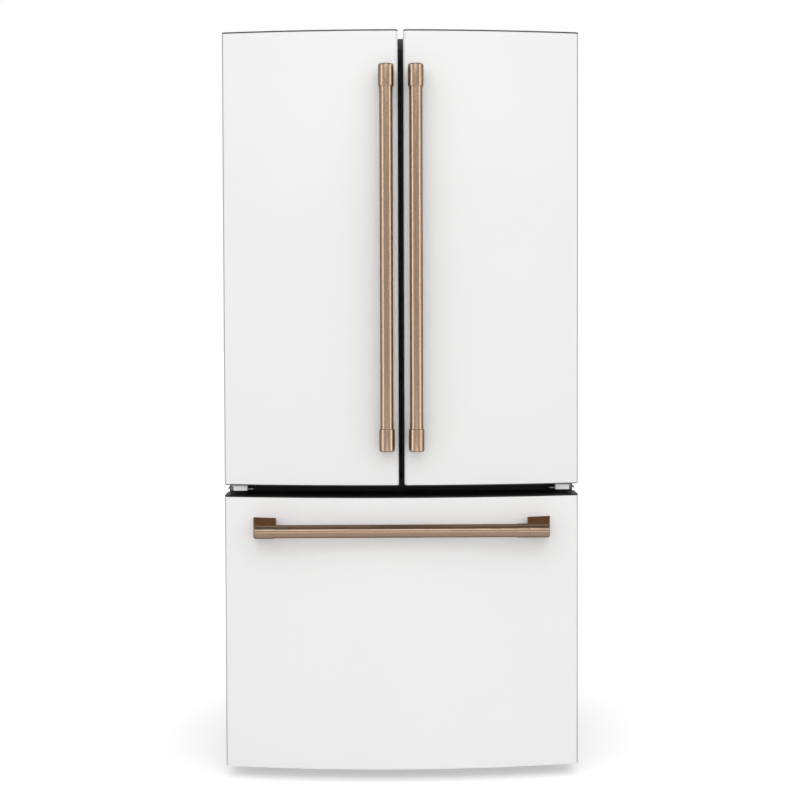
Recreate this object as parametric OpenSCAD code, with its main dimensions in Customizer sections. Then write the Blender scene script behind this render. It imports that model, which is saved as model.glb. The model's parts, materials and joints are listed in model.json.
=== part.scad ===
// French door refrigerator with a bottom freezer drawer.
// Millimetres. +Z is up, the front faces -Y, and the floor is at Z = 0 under the middle of the whole.

/* [Cabinet] */
// Width of the cabinet
case_w = 826; // [780:1:880]
// Depth of the cabinet without its doors
case_d = 622; // [590:1:680]
// Thickness of the insulated side walls
wall_t = 43; // [38:1:50]
// Thickness of the insulated ceiling
ceiling_t = 50; // [44:1:60]
// Thickness of the insulated back
back_t = 50; // [44:1:60]
// Thickness of the sheet steel
skin_t = 1; // [0.6:0.1:1.4]
// Thickness of the plastic liners
liner_t = 2; // [1.5:0.5:3]
// Corner radius of the two food compartments
liner_r = 20; // [12:1:30]
// Corner radius of the cabinet's top edges
case_r = 6; // [3:1:10]
// Width of the steel flange round the front
flange_w = 30; // [26:1:34]
// Height of the base frame's top
base_top = 60; // [54:1:70]
// Height of the cabinet's lower edge
base_low = 30; // [26:1:36]
// Height of the freezer floor
freezer_floor = 95; // [90:1:105]
// Depth of the machine compartment
machine_d = 230; // [220:1:260]
// Top of the machine compartment
machine_top = 300; // [290:1:330]

/* [Fronts] */
// How far the fronts stand out past the cabinet's sides
front_over = 3; // [0:1:6]
// Space under the freezer front
toe_gap = 26.5; // [20:0.5:34]
// Height of the freezer front
drawer_h = 637.5; // [600:0.5:680]
// Space between the freezer front and the doors
front_gap = 28; // [26:1:34]
// Height of the doors
door_h = 1053; // [990:1:1100]
// Space between the two doors
door_gap = 13.5; // [10:0.5:16]
// Thickness of the fronts at their outer edges
door_t = 68; // [60:1:80]
// How far the fronts bow out in the middle
bow = 34; // [20:1:44]
// Radius of the fronts' upright edges
edge_r = 8; // [5:1:12]
// Height of the lip of the top end caps
cap_lip = 3; // [2:0.5:5]
// Depth that an end cap reaches into its front
cap_plug = 20; // [14:1:24]
// Space between the cabinet and the fronts, which the seals fill
seal_gap = 10; // [9:0.5:12]
// Width of a seal
seal_w = 14; // [12:1:16]
// How far the doors' inner panels stand into the cabinet
dyke_d = 47; // [40:1:52]
// Width of the raised edge of a door's inner panel
dyke_w = 24; // [20:1:28]

/* [Hinges] */
// Distance from a door's outer side to its hinge pin
hinge_in = 22; // [20:1:24]
// Distance from a door's back to its hinge pin
hinge_back = 34; // [32:1:40]
// Radius of the hinge pins
pin_r = 5.95; // [5:0.05:7]
// Thickness of the hinge plates
plate_t = 3; // [2.5:0.5:4]
// Height of the hinge covers above the cabinet
cover_h = 23; // [20:1:30]

/* [Handles] */
// How far the handles stand out from the bowed fronts
handle_reach = 56; // [50:1:70]
// Diameter of the handle tubes
bar_d = 30; // [26:1:32]
// Wall of the handle tubes
bar_wall = 2; // [1.5:0.5:3]
// Diameter of the door handles' ends
end_d = 35; // [33:1:40]
// Distance of the door handles from the middle
handle_x = 34; // [30:1:50]
// Length of the door handles
handle_l = 884; // [700:1:950]
// Height of the door handles' lower end above the doors' lower edge
handle_up = 84.5; // [60:0.5:110]
// Length of a door handle's end
door_end_l = 49; // [40:1:60]
// Length of the freezer handle
bar_l = 677; // [560:1:720]
// Distance of the freezer handle below the freezer front's top
bar_down = 71; // [60:0.5:90]
// Length of a freezer handle's end
drawer_end_l = 43; // [36:1:60]
// Diameter of the freezer handle's ends and collar
drawer_end_d = 32; // [31.5:0.5:40]
// Length of the plain collar at the freezer handle's right end
collar_l = 29; // [20:1:40]

/* [Centre bar] */
// Width of the folding bar behind the doors
fold_w = 62; // [58:1:64]
// Thickness of the folding bar
fold_t = 14; // [12:1:16]
// Distance of the bar's pivot from the middle
fold_x = 24; // [22:1:26]
// Distance from the bar's pivot to its guide pin
guide_arm = 40; // [34:1:44]
// Radius of the guide pin
guide_r = 4; // [3:0.5:5]

/* [Fresh food compartment] */
// Distance from the cabinet's front to the shelves' front edges
shelf_back = 135; // [132:1:150]
// Height of the top of the crispers' glass cover above the compartment's floor
crisper_cover_h = 208; // [200:1:216]
// Spacing of the slots in the shelf rails
slot_pitch = 40; // [36:1:44]
// Slot that carries the lower shelves
low_slot = 5; // [4:1:6]
// Slot that carries the upper shelves
high_slot = 11; // [10:1:12]
// Thickness of the shelf glass
glass_t = 4; // [3:0.5:5]
// Height of a door bin
bin_h = 95; // [80:1:110]
// Spacing of the door bins
bin_pitch = 234; // [220:1:245]
// Depth that a door bin reaches past the inner panel
bin_out = 85; // [70:1:88]

/* [Freezer] */
// Space between the fixed slide rails and the cooling cover
rail_gap = 39; // [30:1:50]
// Height of the slides' middle above the freezer floor
slide_up = 357; // [350:1:370]
// Space between the lower basket and the step behind it
basket_gap = 25; // [20:1:40]
// Depth of the upper tray
tray_d = 300; // [260:1:310]
// Height of the upper tray
tray_h = 110; // [90:1:130]

/* [Machine compartment] */
// Radius of the compressor's shell
comp_r = 70; // [60:1:76]
// Radius of the condenser fan
fan_r = 65; // [50:1:68]
// Radius of the evaporator fan
cold_fan_r = 40; // [34:1:42]
// Radius of the rear rollers
roller_r = 25; // [22:1:26]
// Radius of the levelling feet
foot_r = 18; // [14:1:22]

/* [Hidden] */

// Working clearances
slip = 0.3;        // between pieces that slide past each other
run = 0.05;        // round a turning shaft, on the radius
past = 1;          // how far a cut runs past the face it opens
arc_n = 6;         // straight pieces in a quarter circle
bow_n = 24;        // straight pieces across a front

// Depths, from the back to the front
depth_all = case_d + seal_gap + door_t + bow + handle_reach;
y_back = depth_all / 2;
y_case = y_back - case_d;
y_seal = y_case - seal_gap;
y_edge = y_seal - door_t;
y_peak = y_edge - bow;
y_bar = y_peak - handle_reach + end_d / 2;
y_in = y_back - back_t;
y_machine = y_back - machine_d;

// Widths, from the middle outwards
case_x = case_w / 2;
front_x = case_x + front_over;
in_x = case_x - wall_t;
lip_x = case_x - flange_w;
hinge_x = front_x - hinge_in;
hinge_y = y_seal - hinge_back;

// Heights, from the floor upwards
drawer_z0 = toe_gap;
drawer_z1 = toe_gap + drawer_h;
door_z0 = drawer_z1 + front_gap;
door_z1 = door_z0 + door_h;
door_top = door_z1 + cap_lip;
hinge_gap = 2;
case_z1 = door_top + hinge_gap;
seal_lap = 24;
sill_lap = 20;
freezer_top = drawer_z1 - seal_lap;
fresh_floor = door_z0 + sill_lap;
fresh_top = case_z1 - ceiling_t;
step_t = 43;
step_z = machine_top + step_t + liner_t;
step_y = y_machine - step_t - liner_t;

// The bow of the fronts is one arc across the whole width
bow_r = (pow(front_x, 2) + pow(bow, 2)) / (2 * bow);
bow_cy = y_peak + bow_r;

// ---------------------------------------------------------------- shared shapes

function arc(cx, cy, r, a0, a1, n) =
    [for (i = [0:n]) [cx + r * cos(a0 + (a1 - a0) * i / n), cy + r * sin(a0 + (a1 - a0) * i / n)]];

// Outline of a rectangle with round corners
function round_rect(x0, y0, x1, y1, r) = concat(
    arc(x0 + r, y0 + r, r, 180, 270, arc_n), arc(x1 - r, y0 + r, r, 270, 360, arc_n),
    arc(x1 - r, y1 - r, r, 0, 90, arc_n), arc(x0 + r, y1 - r, r, 90, 180, arc_n));

// Direction from the middle of the bow to the middle of an edge's rounding
function edge_cy(x) = bow_cy - sqrt(pow(bow_r - edge_r, 2) - x * x);
function edge_dir(x) = atan2(edge_cy(x) - bow_cy, x) + 360;

// Plan of a bowed front between x0 and x1, set in by t, with its back at yb
function panel(x0, x1, t, yb) =
    let (xa = x0 + edge_r, xb = x1 - edge_r, r = edge_r - t)
    let (inner = arc(0, bow_cy, bow_r - t, edge_dir(xa), edge_dir(xb), bow_n))
    concat(
        [[x0 + t, yb]],
        arc(xa, edge_cy(xa), r, 180, edge_dir(xa), arc_n),
        [for (i = [1:bow_n - 1]) inner[i]],
        arc(xb, edge_cy(xb), r, edge_dir(xb), 360, arc_n),
        [[x1 - t, yb]]);

module box(a, b) {
    translate(a) cube(b - a);
}

// A shape drawn in X and Y, raised from z0 to z1
module rise(z0, z1) {
    translate([0, 0, z0]) linear_extrude(z1 - z0) children();
}

// A shape drawn in X and Z, run from y0 back to y1
module deep(y0, y1) {
    translate([0, y1, 0]) rotate([90, 0, 0]) linear_extrude(y1 - y0) children();
}

// A shape drawn in Y and Z, run from x0 to x1
module across(x0, x1) {
    translate([x0, 0, 0]) rotate([90, 0, 90]) linear_extrude(x1 - x0) children();
}

module both() {
    children();
    mirror([1, 0, 0]) children();
}

// Round bars along each axis
module bar_z(p, r, h) {
    translate(p) cylinder(h = h, r = r, $fn = 48);
}

module bar_y(p, r, h) {
    translate(p) rotate([-90, 0, 0]) cylinder(h = h, r = r, $fn = 48);
}

module bar_x(p, r, h) {
    translate(p) rotate([0, 90, 0]) cylinder(h = h, r = r, $fn = 48);
}

// A frame drawn in X and Z with round corners, w wide, from y0 back to y1
module ring(x0, z0, x1, z1, w, r, y0, y1) {
    deep(y0, y1) difference() {
        polygon(round_rect(x0, z0, x1, z1, r));
        polygon(round_rect(x0 + w, z0 + w, x1 - w, z1 - w, max(r - w, 2)));
    }
}

// ---------------------------------------------------------------- cabinet

module cabinet_outline(t) {
    r = case_r - t;
    polygon(concat(
        [[-case_x + t, base_low - past * (t > 0 ? 1 : 0)], [case_x - t, base_low - past * (t > 0 ? 1 : 0)]],
        arc(case_x - case_r, case_z1 - case_r, r, 0, 90, arc_n),
        arc(-case_x + case_r, case_z1 - case_r, r, 90, 180, arc_n)));
}

module cabinet_shell() {
    color("#2b2c2e") difference() {
        deep(y_case, y_back) cabinet_outline(0);
        deep(y_case + skin_t, y_back + past) cabinet_outline(skin_t);
        box([-lip_x, y_case - past, 0], [lip_x, y_case + skin_t + past, case_z1 - flange_w]);
    }
}

module back_panel() {
    color("#8d9094") difference() {
        deep(y_back - skin_t, y_back) intersection() {
            cabinet_outline(skin_t);
            translate([-case_x, machine_top + skin_t]) square([case_w, case_z1]);
        }
        for (x = [-1, 1], z = [machine_top + 120, fresh_floor + 60, case_z1 - 120]) {
            box([x * 250 - 60, y_back - skin_t / 2, z], [x * 250 + 60, y_back + past, z + 14]);
        }
    }
}

// Outline of a space with round corners, or with square ones where t sets it outwards
function hollow(z0, z1, t) = t == 0
    ? round_rect(-in_x, z0, in_x, z1, liner_r)
    : [[-in_x - t, z0 - t], [in_x + t, z0 - t], [in_x + t, z1 + t], [-in_x - t, z1 + t]];

// The two spaces, or with a thickness t the outsides of their liners
module fresh_hollow(t, y0) {
    deep(y0, y_in + t) polygon(hollow(fresh_floor, fresh_top, t));
}

module freezer_hollow(t, y0) {
    deep(y0, step_y + t) polygon(hollow(freezer_floor, freezer_top, t));
    deep(y0, y_in + t) polygon(hollow(step_z, freezer_top, t));
}

module foam_insulation() {
    color("#e8d9a0") difference() {
        deep(y_case + skin_t, y_back - skin_t) intersection() {
            cabinet_outline(skin_t);
            translate([-case_x, base_top]) square([case_w, case_z1]);
        }
        fresh_hollow(liner_t, y_case - past);
        freezer_hollow(liner_t, y_case - past);
        box([-case_x, y_machine, 0], [case_x, y_back, machine_top]);
    }
}

// Ribs on the side walls: one runs the crisper, the other carries its cover
rib_out = 8;
runner_z = fresh_floor + 168;
runner_t = 5;
ledge_z = fresh_floor + crisper_cover_h - 21;
shelf_front = y_case + shelf_back;
shelf_rear = y_in - 29;

module fresh_food_liner() {
    wall_x = in_x + liner_t / 2;
    color("#f2f2f0") {
        difference() {
            union() {
                fresh_hollow(liner_t, y_case + skin_t);
                box([-lip_x, y_case, fresh_floor - liner_t], [lip_x, y_case + skin_t, case_z1 - flange_w]);
            }
            fresh_hollow(0, y_case - past);
        }
        both() {
            box([in_x - rib_out, shelf_front + 8, runner_z], [wall_x, shelf_rear, runner_z + runner_t]);
            box([in_x - 6, shelf_front, ledge_z], [wall_x, shelf_rear, ledge_z + 6]);
        }
    }
}

module freezer_liner() {
    color("#f2f2f0") difference() {
        union() {
            freezer_hollow(liner_t, y_case + skin_t);
            box([-lip_x, y_case, base_top], [lip_x, y_case + skin_t, freezer_top + liner_t]);
        }
        freezer_hollow(0, y_case - past);
    }
}

module mullion_trim() {
    color("#1c1c1d")
        box([-lip_x, y_case, freezer_top + liner_t], [lip_x, y_case + skin_t, fresh_floor - liner_t]);
}

// ---------------------------------------------------------------- base

rail_w = 32;
sheet = 2;
leg_x = in_x - 20;
leg_y = y_case + 40;
stud_r = 5.95;
boss_r = 14;
roller_x = in_x - 40;
roller_y = y_back - 55;
roller_w = 24;
axle_r = 5;
cheek_t = 2.5;

module base_frame() {
    color("#3a3b3d") difference() {
        union() {
            both() {
                box([case_x - skin_t - rail_w, y_case + skin_t, base_top - sheet],
                    [case_x - skin_t, y_machine, base_top]);
                box([case_x - skin_t - sheet, y_case + skin_t, base_low],
                     [case_x - skin_t, y_back - 6, base_top]);
                bar_z([leg_x, leg_y, base_low], boss_r, base_top - base_low - sheet / 2);
                for (x = [roller_x - roller_w / 2 - cheek_t - 1, roller_x + roller_w / 2 + 1]) {
                    across(x, x + cheek_t) polygon([
                        [roller_y - 30, base_top - sheet / 2], [roller_y - 12, roller_r - 8],
                        [roller_y + 12, roller_r - 8], [roller_y + 30, base_top - sheet / 2]]);
                }
            }
            for (y = [y_case + skin_t, y_machine - 60]) {
                box([-case_x + skin_t, y, base_top - sheet], [case_x - skin_t, y + 60, base_top]);
                box([-case_x + skin_t, y, base_low], [case_x - skin_t, y + sheet, base_top]);
            }
            box([-case_x + skin_t, y_machine - sheet, base_top - sheet],
                [case_x - skin_t, y_back - 6, base_top]);
        }
        both() {
            bar_z([leg_x, leg_y, 0], stud_r + run, base_top - sheet);
        }
        bar_x([-case_x, roller_y, roller_r], axle_r + run, case_w);
    }
}

module leg(side) {
    color("#55565a") translate([side * leg_x, leg_y, 0]) {
        rotate_extrude($fn = 48) polygon([
            [0, 0], [foot_r, 0], [foot_r, 4], [foot_r - 5, 9], [stud_r + 4, 10],
            [stud_r + 4, 12], [0, 12]]);
        rise(12, 19) circle(r = stud_r + 5, $fn = 6);
        bar_z([0, 0, 18], stud_r, base_top - sheet - 20);
    }
}

module rear_rollers() {
    color("#2e2f31") {
        both() {
            translate([roller_x, roller_y, roller_r]) rotate([0, 90, 0])
                rotate_extrude($fn = 64) polygon([
                    [0, -roller_w / 2], [roller_r - 3, -roller_w / 2], [roller_r, -roller_w / 2 + 3],
                    [roller_r, roller_w / 2 - 3], [roller_r - 3, roller_w / 2], [0, roller_w / 2]]);
        }
        bar_x([-roller_x - roller_w, roller_y, roller_r], axle_r, 2 * roller_x + 2 * roller_w);
    }
}

grille_low = 6;
grille_t = 3;

module toe_grille() {
    slots = 22;
    pitch = (2 * lip_x - 40) / slots;
    color("#232425") difference() {
        box([-lip_x + 1, y_case + skin_t - grille_t, grille_low],
            [lip_x - 1, y_case + skin_t, base_top - 2]);
        for (i = [0:slots - 1], z = [grille_low + 4, grille_low + 12]) {
            box([-lip_x + 24 + i * pitch, y_case - grille_t, z],
                [-lip_x + 16 + (i + 1) * pitch, y_case + grille_t, z + 4]);
        }
    }
}

// ---------------------------------------------------------------- machine compartment

vent_rows = 9;
cover_screw_z = [base_low + 22, machine_top - 21];
head_h = 2.6;
head_r = 4.6;

module rear_cover() {
    z0 = base_low + 2;
    z1 = machine_top - skin_t;
    pitch = (z1 - z0 - 70) / vent_rows;
    vent_w = case_x - 90;
    color("#4a4b4e") {
        difference() {
            box([-case_x + skin_t, y_back - 6, z0], [case_x - skin_t, y_back, z1 + skin_t]);
            box([-case_x + 12, y_back - 7, z0 + 12], [case_x - 12, y_back - skin_t * 1.5, z1 - 12]);
            for (s = [-1, 1], i = [0:vent_rows - 1]) {
                box([s * case_x / 2 - vent_w / 2, y_back - 8, z0 + 38 + i * pitch],
                    [s * case_x / 2 + vent_w / 2, y_back + past, z0 + 38 + i * pitch + pitch * 0.55]);
            }
            both() for (z = cover_screw_z) {
                bar_y([case_x - 9, y_back - 7, z], 2.6, 9);
                bar_y([case_x - 9, y_back - head_h, z], head_r + slip, 9);
            }
        }
        // Blades that slope down and outwards across each slot
        for (s = [-1, 1], i = [0:vent_rows - 1]) {
            translate([s * case_x / 2, 0, z0 + 38 + i * pitch])
                across(-vent_w / 2 - 1, vent_w / 2 + 1) polygon([
                    [y_back - 1.2, -1], [y_back - 0.2, -1], [y_back - 4.6, pitch * 0.55 + 1.6],
                    [y_back - 5.6, pitch * 0.55 + 1.6]]);
        }
    }
}

comp_x = 160 - in_x;
comp_y = y_machine + 115;
grommet_h = 12;

module compressor() {
    z0 = base_top + grommet_h + 3;
    z1 = machine_top - 68;
    zm = (z0 + z1) / 2;
    dome = 34;
    color("#1f2022") translate([comp_x, comp_y, 0]) {
        rotate_extrude($fn = 72) polygon(concat(
            [[0, z0 - 2], [comp_r - dome, z0 - 2]],
            arc(comp_r - dome, z0 - 2 + dome, dome, 270, 360, arc_n),
            [[comp_r, zm - 4], [comp_r + 5, zm - 4], [comp_r + 5, zm + 4], [comp_r, zm + 4]],
            arc(comp_r - dome, z1 - dome, dome, 0, 90, arc_n),
            [[0, z1]]));
        rise(base_top + grommet_h, base_top + grommet_h + 3)
            polygon(round_rect(-comp_r - 28, -comp_r + 14, comp_r + 28, comp_r - 14, 10));
        for (x = [-1, 1], y = [-1, 1]) {
            bar_z([x * (comp_r + 14), y * (comp_r - 28), base_top], 11, grommet_h + 6);
        }
        box([comp_r - 12, -24, zm + 8], [comp_r + 26, 24, zm + 52]);
        bar_z([-30, -30, z1 - 14], 5, 40);
        bar_z([30, -34, z1 - 14], 4, 34);
    }
}

coil_x0 = in_x - 292;
coil_x1 = in_x - 40;
coil_y = y_machine + 115;
coil_r = 4;
coil_pitch = 26;
coil_low = base_top + 56;
fan_x = in_x - 356;
fan_z = base_top + 100;
motor_r = 20;
shaft_r = 3;

// One bend of a coil, a half ring of tube in the XZ plane
module bend(x, y, z, side) {
    translate([x, y, z]) rotate([90, 0, 0]) rotate([0, 0, side > 0 ? -90 : 90])
        rotate_extrude(angle = 180, $fn = 32) translate([coil_pitch / 2, 0]) circle(r = coil_r, $fn = 24);
}

module condenser() {
    runs = 6;
    color("#2a2a2c") {
        for (y = [coil_y - 50, coil_y, coil_y + 50]) {
            for (i = [0:runs - 1]) {
                bar_x([coil_x0, y, coil_low + i * coil_pitch], coil_r, coil_x1 - coil_x0);
            }
            for (i = [0:runs - 2]) {
                bend(i % 2 == 0 ? coil_x1 : coil_x0, y, coil_low + (i + 0.5) * coil_pitch,
                      i % 2 == 0 ? 1 : -1);
            }
        }
        for (x = [coil_x0 + 8, coil_x1 - 10]) {
            box([x, coil_y - 92, base_top], [x + 2, coil_y - 84, coil_low + runs * coil_pitch - 8]);
            box([x, coil_y + 84, base_top], [x + 2, coil_y + 92, coil_low + runs * coil_pitch - 8]);
            box([x, coil_y - 92, coil_low - 12], [x + 2, coil_y + 92, coil_low + runs * coil_pitch - 8]);
        }
        // Fan plate with its round throat, and the motor on three struts behind it
        difference() {
            box([fan_x + 14, coil_y - 90, base_top], [fan_x + 16, coil_y + 90, fan_z + fan_r + 16]);
            bar_x([fan_x, coil_y, fan_z], fan_r + 3, 40);
        }
        difference() {
            union() {
                bar_x([fan_x + 22, coil_y, fan_z], motor_r, 26);
                for (a = [90, 210, 330]) {
                    translate([0, coil_y, fan_z]) rotate([a, 0, 0])
                        box([fan_x + 14, motor_r - 4, -4], [fan_x + 17, fan_r + 8, 4]);
                    translate([0, coil_y, fan_z]) rotate([a, 0, 0])
                        box([fan_x + 14, motor_r - 8, -4], [fan_x + 26, motor_r - 2, 4]);
                }
            }
            bar_x([fan_x, coil_y, fan_z], shaft_r + run, 60);
        }
    }
}

module fan_blades(r, hub_r, depth, count) {
    // Drawn about Z: a hub with pitched blades
    cylinder(h = depth, r = hub_r, $fn = 48);
    intersection() {
        union() {
            for (i = [0:count - 1]) {
                rotate([0, 0, i * 360 / count]) translate([0, 0, depth / 2]) rotate([32, 0, 0])
                    translate([hub_r - 2, -r * 0.34, -0.8]) cube([r, r * 0.68, 1.6]);
            }
        }
        difference() {
            cylinder(h = depth, r = r, $fn = 64);
            translate([0, 0, -past]) cylinder(h = depth + 2 * past, r = hub_r - 1, $fn = 48);
        }
    }
}

module condenser_fan() {
    color("#3f4043") translate([fan_x - 8, coil_y, fan_z]) rotate([0, 90, 0]) {
        fan_blades(fan_r, 18, 20, 5);
        cylinder(h = 46, r = shaft_r, $fn = 32);
    }
}

module drain_pan() {
    w = 3;
    color("#5a5b5e") difference() {
        rise(base_top, base_top + 34)
            polygon(round_rect(coil_x0 + 14, coil_y - 80, coil_x1 - 14, coil_y + 80, 14));
        rise(base_top + w, base_top + 40)
            polygon(round_rect(coil_x0 + 14 + w, coil_y - 80 + w,
                               coil_x1 - 14 - w, coil_y + 80 - w, 14 - w));
    }
}

// ---------------------------------------------------------------- freezer cooling

y_cover = y_in - 56;
cold_fan_z = freezer_top - 50;
cold_fan_y = y_cover + 10;

module evaporator() {
    z0 = step_z + 14;
    rows = 6;
    pitch = 24;
    half = in_x - 90;
    color("#b9bcc0") {
        for (i = [0:rows - 1]) {
            bar_x([-half, y_in - 21, z0 + 12 + i * pitch], 4, 2 * half);
        }
        for (i = [0:23]) {
            x = -half + 14 + i * (2 * half - 30) / 23;
            box([x, y_in - 38, z0], [x + 1, y_in - 4, z0 + rows * pitch]);
        }
        for (x = [-half - 2, half]) {
            box([x, y_in - 38, z0 - 14], [x + 2, y_in, z0 + rows * pitch]);
        }
    }
}

module evaporator_cover() {
    z0 = step_z;
    slot_n = 14;
    color("#e9eaea") {
        difference() {
            deep(y_cover, y_cover + 2.5)
                polygon(round_rect(-in_x, z0, in_x, freezer_top, liner_r));
            for (i = [0:slot_n - 1]) {
                box([-in_x + 62 + i * (2 * in_x - 130) / slot_n, y_cover - past, z0 + 24],
                    [-in_x + 92 + i * (2 * in_x - 130) / slot_n, y_cover + 4, z0 + 34]);
            }
            for (a = [0:45:315], q = [16, 27]) {
                translate([0, y_cover - past, cold_fan_z]) rotate([0, a, 0])
                    translate([-4, 0, q]) cube([8, 6, 8]);
            }
        }
        // Motor behind the fan, held by three arms from the cover
        difference() {
            union() {
                bar_y([0, cold_fan_y + 20, cold_fan_z], 16, 20);
                for (a = [0, 120, 240]) {
                    translate([0, 0, cold_fan_z]) rotate([0, a, 0]) {
                        box([-3, cold_fan_y + 22, 10], [3, cold_fan_y + 26, cold_fan_r + 5]);
                        box([-3, y_cover + 2, cold_fan_r + 2], [3, cold_fan_y + 26, cold_fan_r + 5]);
                    }
                }
            }
            bar_y([0, cold_fan_y, cold_fan_z], shaft_r + run, 60);
        }
    }
}

module evaporator_fan() {
    color("#d7d8da") translate([0, cold_fan_y, cold_fan_z]) rotate([-90, 0, 0]) {
        fan_blades(cold_fan_r, 13, 16, 5);
        cylinder(h = 36, r = shaft_r, $fn = 32);
    }
}

// ---------------------------------------------------------------- fresh food fittings

rail_x1 = in_x - 25;
rail_x0 = 125;
rail_low = fresh_floor + 234;
rail_t = 8;
slot_n = floor((fresh_top - rail_low - 60) / slot_pitch);
function slot_z(n) = rail_low + 20 + n * slot_pitch;

module air_duct() {
    half = 105;
    color("#eeeeec") difference() {
        rise(rail_low, fresh_top) polygon([
            [-half, y_in], [-half + 14, y_in - 22], [half - 14, y_in - 22], [half, y_in]]);
        rise(rail_low + 3, fresh_top - 3) polygon([
            [-half + 6, y_in + past], [-half + 16, y_in - 19.5],
            [half - 16, y_in - 19.5], [half - 6, y_in + past]]);
        for (n = [1, 3, 7, 9, 13, 15], s = [-1, 1]) {
            box([s * 42 - 26, y_in - 30, slot_z(n) + 10], [s * 42 + 26, y_in - 12, slot_z(n) + 18]);
        }
    }
}

module shelf_rails() {
    color("#dcdcda") both() for (x = [rail_x0, rail_x1]) {
        difference() {
            box([x - 7, y_in - rail_t, rail_low], [x + 7, y_in, rail_low + slot_n * slot_pitch + 20]);
            box([x - 5, y_in - rail_t + sheet, rail_low - past],
                [x + 5, y_in + past, rail_low + slot_n * slot_pitch + 30]);
            for (n = [0:slot_n - 1]) {
                box([x - 2, y_in - rail_t - past, slot_z(n) - 6], [x + 2, y_in - 4, slot_z(n) + 6]);
            }
        }
    }
}

shelf_rim = 12;
shelf_h = 12;
shelf_x0 = 6;
shelf_x1 = in_x - 6;
glass_in = 8;
shelf_levels = [low_slot, high_slot];
function shelf_z(n) = slot_z(n) + 4;

module shelf_plan(t) {
    polygon(round_rect(shelf_x0 + t, shelf_front + t, shelf_x1 - t, shelf_rear - t, 10 - min(t, 7)));
}

module shelf_frame(z) {
    difference() {
        rise(z, z + shelf_h) shelf_plan(0);
        rise(z - past, z + shelf_h + past) shelf_plan(shelf_rim);
        rise(z + 5, z + shelf_h + past) shelf_plan(glass_in);
    }
    for (x = [rail_x0, rail_x1 - 10]) {
        across(x - 1.5, x + 1.5) polygon([
            [shelf_front + 5, z + 4], [shelf_front + 5, z], [shelf_rear - 90, z - 46],
            [y_in - rail_t - slip, z - 56], [y_in - rail_t - slip, z + 4]]);
    }
    // Tabs that hook into the rails
    for (x = [rail_x0, rail_x1], dz = [-4, -4 - slot_pitch]) {
        box([x - 1.5, y_in - rail_t - 10, z + dz - 3], [x + 1.5, y_in - rail_t + 5, z + dz + 3]);
    }
    box([rail_x1 - 11.5, y_in - rail_t - 12, z - 54], [rail_x1 + 1.5, y_in - rail_t - 8, z + 3]);
}

cover_z = fresh_floor + crisper_cover_h - 15;
divider_x = 24;

module crisper_frame() {
    x1 = in_x - 0.4;
    difference() {
        box([-x1, shelf_front, cover_z], [x1, shelf_rear, cover_z + 15]);
        both() {
            box([shelf_rim, shelf_front + shelf_rim, cover_z - past],
                [x1 - shelf_rim, shelf_rear - shelf_rim, cover_z + 20]);
        }
        box([-x1 + glass_in, shelf_front + glass_in, cover_z + 10 - glass_t + slip],
            [x1 - glass_in, shelf_rear - glass_in, cover_z + 20]);
        // Groove that the humidity slider runs in
        box([slider_x - 6, shelf_front - past, cover_z + 4],
            [slider_x + slider_w + slider_run + 6, shelf_front + 3, cover_z + 9]);
    }
    // Centre divider between the crispers, with a runner on each side
    box([-divider_x, shelf_front + 4, fresh_floor], [divider_x, shelf_rear, cover_z + past]);
    both() {
        box([divider_x - past, shelf_front + 8, runner_z], [divider_x + 9, shelf_rear, runner_z + runner_t]);
    }
}

module shelf_frames() {
    color("#f4f4f2") {
        both() for (n = shelf_levels) shelf_frame(shelf_z(n));
        crisper_frame();
    }
}

module shelf_glass() {
    x1 = in_x - 0.4;
    color("#cfe3e0", 0.4) {
        both() for (n = shelf_levels) {
            rise(shelf_z(n) + 5, shelf_z(n) + 5 + glass_t) shelf_plan(glass_in + slip);
        }
        rise(cover_z + 10 - glass_t + slip, cover_z + 10 + slip) polygon(round_rect(
            -x1 + glass_in + slip, shelf_front + glass_in + slip,
            x1 - glass_in - slip, shelf_rear - glass_in - slip, 3));
    }
}

slider_x = 150;
slider_w = 26;
slider_run = 30;

module humidity_slider() {
    color("#c9ccd0") {
        box([slider_x, shelf_front - 5, cover_z + 2],
            [slider_x + slider_w, shelf_front - slip, cover_z + 13]);
        box([slider_x + 6, shelf_front - 5, cover_z + 4 + slip],
            [slider_x + slider_w - 6, shelf_front + 2.5, cover_z + 9 - slip]);
    }
}

crisper_x0 = divider_x + 14;
crisper_x1 = in_x - 14;
crisper_z0 = fresh_floor + 10;
crisper_z1 = cover_z - 3;
crisper_t = 2.5;

module crisper() {
    r = 22;
    difference() {
        union() {
            rise(crisper_z0, crisper_z1) polygon(round_rect(
                crisper_x0, shelf_front + 6, crisper_x1, shelf_rear - 16, r));
            // Pull along the top of the front
            across(crisper_x0 + r, crisper_x1 - r) polygon([
                [shelf_front, crisper_z1], [shelf_front, crisper_z1 - 20],
                [shelf_front + 3, crisper_z1 - 20],
                [shelf_front + 4, crisper_z1 - 5], [shelf_front + 12, crisper_z1 - 34],
                [shelf_front + 12, crisper_z1]]);
            // Flanges that run on the ribs
            rise(runner_z + runner_t + slip, runner_z + runner_t + slip + 3)
                polygon(round_rect(divider_x + 2, shelf_front + 32, in_x - 2, shelf_rear - 16, 8));
        }
        rise(crisper_z0 + crisper_t, crisper_z1 + past) polygon(round_rect(
            crisper_x0 + crisper_t, shelf_front + 6 + crisper_t,
            crisper_x1 - crisper_t, shelf_rear - 16 - crisper_t, r - crisper_t));
    }
    // Ribs across the floor of the bin
    for (i = [1:5]) {
        y = shelf_front + 6 + i * (shelf_rear - shelf_front - 22) / 6;
        box([crisper_x0 + crisper_t - 1, y, crisper_z0 + crisper_t - 1],
            [crisper_x1 - crisper_t + 1, y + 3, crisper_z0 + crisper_t + 4]);
    }
}

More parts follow.
